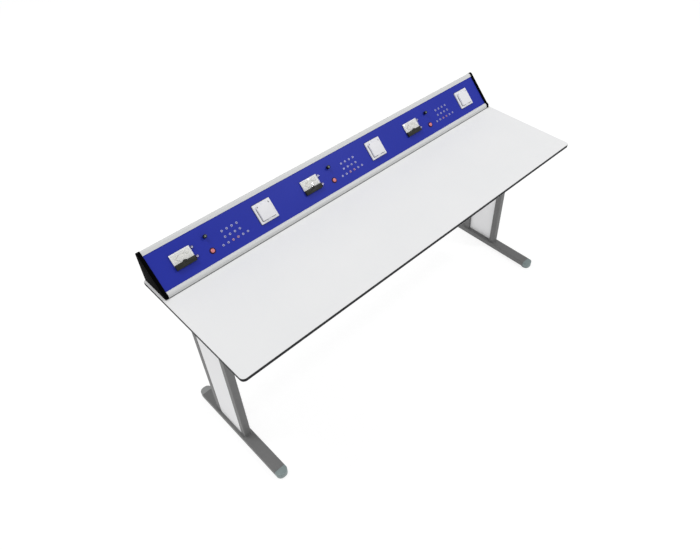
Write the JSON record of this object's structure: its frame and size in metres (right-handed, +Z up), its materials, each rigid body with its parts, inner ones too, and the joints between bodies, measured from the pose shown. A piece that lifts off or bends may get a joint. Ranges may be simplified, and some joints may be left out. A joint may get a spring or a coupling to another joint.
{
  "type": "science laboratory table with instrument console",
  "caption": "White laboratory worktop on two steel T-leg frames, with a sloping rear console of meters, knobs, push buttons, safety sockets and lidded mains outlets.",
  "frame": {"origin": "on the floor under the middle of the table", "axes": "+X along the table to the user's right, +Y from the user's side to the console, +Z up"},
  "size_m": [1.8, 0.59, 0.8902],
  "materials": {
    "phenolic_core": "black compact laminate, satin",
    "white_laminate": "white decor sheet, fine matt grain",
    "grey_powder_coat": "fine textured powder coat",
    "grey_cap": "moulded polypropylene, satin",
    "black_glide": "moulded nylon, matt",
    "white_board": "melamine faced board, matt",
    "zinc_screw": "bright zinc plated",
    "anodised_rail": "satin anodised",
    "blue_panel": "satin enamel",
    "grey_sheet": "light grey powder coat",
    "black_cheek": "moulded, satin",
    "black_rubber": "matt",
    "black_moulding": "low gloss",
    "black_needle": "matt lacquer",
    "clear_window": "clear, polished",
    "dial_card": "printed scale",
    "red_collar": "moulded, satin",
    "nickel_contact": "bright nickel plating",
    "pot_body": "dull nickel",
    "red_button": "moulded, glossy",
    "dark_bezel": "moulded, satin",
    "pale_collar": "moulded, satin",
    "pink_collar": "moulded, satin",
    "white_outlet": "moulded, low gloss"
  },
  "bodies": {
    "table": {"worktop_core": "phenolic_core", "worktop_faces": "white_laminate", "foot_left": "grey_powder_coat", "foot_right": "grey_powder_coat", "foot_caps": "grey_cap", "uprights_left": "grey_powder_coat", "uprights_right": "grey_powder_coat", "side_panel_left": "white_board", "side_panel_right": "white_board", "top_bracket_left": "grey_powder_coat", "top_bracket_right": "grey_powder_coat", "stretcher_front": "grey_powder_coat", "stretcher_rear": "grey_powder_coat", "fixing_screws": "zinc_screw", "stretcher_bolts": "zinc_screw", "console_lower_rail": "anodised_rail", "console_upper_rail": "anodised_rail", "console_panel": "blue_panel", "console_back": "grey_sheet", "console_floor": "grey_sheet", "end_cap_left": "black_cheek", "end_cap_right": "black_cheek", "cable_grommet": "black_rubber", "meter_1_case": "black_moulding", "meter_2_case": "black_moulding", "meter_3_case": "black_moulding", "meter_windows": "clear_window", "meter_covers": "black_moulding", "meter_dials": "dial_card", "terminal_collars_black": "black_moulding", "terminal_collars_red": "red_collar", "terminal_sleeves": "nickel_contact", "potentiometers": "pot_body", "button_switches": "dark_bezel", "socket_collars": "pale_collar", "socket_collars_red": "pink_collar", "socket_sleeves": "nickel_contact", "outlet_1_frame": "white_outlet", "outlet_2_frame": "white_outlet", "outlet_3_frame": "white_outlet", "outlet_inserts": "white_outlet"},
    "outlet_1_lid": {"outlet_1_lid": "white_outlet"},
    "knob_1": {"knob_1": "black_moulding"},
    "button_1": {"button_1": "red_button"},
    "meter_1_pointer": {"meter_1_pointer": "black_needle"},
    "zero_screw_1": {"zero_screw_1": "black_moulding"},
    "outlet_2_lid": {"outlet_2_lid": "white_outlet"},
    "knob_2": {"knob_2": "black_moulding"},
    "button_2": {"button_2": "red_button"},
    "meter_2_pointer": {"meter_2_pointer": "black_needle"},
    "zero_screw_2": {"zero_screw_2": "black_moulding"},
    "outlet_3_lid": {"outlet_3_lid": "white_outlet"},
    "knob_3": {"knob_3": "black_moulding"},
    "button_3": {"button_3": "red_button"},
    "meter_3_pointer": {"meter_3_pointer": "black_needle"},
    "zero_screw_3": {"zero_screw_3": "black_moulding"},
    "leveller_front_left": {"leveller_front_left": "black_glide"},
    "leveller_front_right": {"leveller_front_right": "black_glide"},
    "leveller_rear_left": {"leveller_rear_left": "black_glide"},
    "leveller_rear_right": {"leveller_rear_right": "black_glide"}
  },
  "joints": [
    {"name": "lid_1_hinge", "type": "hinge", "parent": "table", "child": "outlet_1_lid", "pos_m": [-0.40654, 0.233, 0.85184], "axis": [-1, 0, 0], "range_deg": [0, 100], "stiffness_Nm_per_rad": 0.01},
    {"name": "knob_1_turn", "type": "hinge", "parent": "table", "child": "knob_1", "pos_m": [-0.65934, 0.24253, 0.84556], "axis": [0, 0.7133, -0.7009], "range_deg": [0, 300]},
    {"name": "button_1_press", "type": "slide", "parent": "table", "child": "button_1", "axis": [0, 0.7133, -0.7009], "range_m": [0, 0.003], "stiffness_N_per_m": 400},
    {"name": "meter_1_needle", "type": "hinge", "parent": "table", "child": "meter_1_pointer", "pos_m": [-0.76584, 0.21029, 0.81275], "axis": [0, 0.7133, -0.7009], "range_deg": [0, 90], "stiffness_Nm_per_rad": 0.0002},
    {"name": "zero_screw_1_turn", "type": "hinge", "parent": "table", "child": "zero_screw_1", "pos_m": [-0.76584, 0.21029, 0.81275], "axis": [0, 0.7133, -0.7009], "range_deg": [-45, 45]},
    {"name": "lid_2_hinge", "type": "hinge", "parent": "table", "child": "outlet_2_lid", "pos_m": [0.1793, 0.233, 0.85184], "axis": [-1, 0, 0], "range_deg": [0, 100], "stiffness_Nm_per_rad": 0.01},
    {"name": "knob_2_turn", "type": "hinge", "parent": "table", "child": "knob_2", "pos_m": [-0.0735, 0.24253, 0.84556], "axis": [0, 0.7133, -0.7009], "range_deg": [0, 300]},
    {"name": "button_2_press", "type": "slide", "parent": "table", "child": "button_2", "axis": [0, 0.7133, -0.7009], "range_m": [0, 0.003], "stiffness_N_per_m": 400},
    {"name": "meter_2_needle", "type": "hinge", "parent": "table", "child": "meter_2_pointer", "pos_m": [-0.18, 0.21029, 0.81275], "axis": [0, 0.7133, -0.7009], "range_deg": [0, 90], "stiffness_Nm_per_rad": 0.0002},
    {"name": "zero_screw_2_turn", "type": "hinge", "parent": "table", "child": "zero_screw_2", "pos_m": [-0.18, 0.21029, 0.81275], "axis": [0, 0.7133, -0.7009], "range_deg": [-45, 45]},
    {"name": "lid_3_hinge", "type": "hinge", "parent": "table", "child": "outlet_3_lid", "pos_m": [0.76514, 0.233, 0.85184], "axis": [-1, 0, 0], "range_deg": [0, 100], "stiffness_Nm_per_rad": 0.01},
    {"name": "knob_3_turn", "type": "hinge", "parent": "table", "child": "knob_3", "pos_m": [0.51234, 0.24253, 0.84556], "axis": [0, 0.7133, -0.7009], "range_deg": [0, 300]},
    {"name": "button_3_press", "type": "slide", "parent": "table", "child": "button_3", "axis": [0, 0.7133, -0.7009], "range_m": [0, 0.003], "stiffness_N_per_m": 400},
    {"name": "meter_3_needle", "type": "hinge", "parent": "table", "child": "meter_3_pointer", "pos_m": [0.40584, 0.21029, 0.81275], "axis": [0, 0.7133, -0.7009], "range_deg": [0, 90], "stiffness_Nm_per_rad": 0.0002},
    {"name": "zero_screw_3_turn", "type": "hinge", "parent": "table", "child": "zero_screw_3", "pos_m": [0.40584, 0.21029, 0.81275], "axis": [0, 0.7133, -0.7009], "range_deg": [-45, 45]},
    {"name": "leveller_front_left_height", "type": "slide", "parent": "table", "child": "leveller_front_left", "axis": [0, 0, -1], "range_m": [0, 0.012]},
    {"name": "leveller_front_right_height", "type": "slide", "parent": "table", "child": "leveller_front_right", "axis": [0, 0, -1], "range_m": [0, 0.012]},
    {"name": "leveller_rear_left_height", "type": "slide", "parent": "table", "child": "leveller_rear_left", "axis": [0, 0, -1], "range_m": [0, 0.012]},
    {"name": "leveller_rear_right_height", "type": "slide", "parent": "table", "child": "leveller_rear_right", "axis": [0, 0, -1], "range_m": [0, 0.012]}
  ]
}
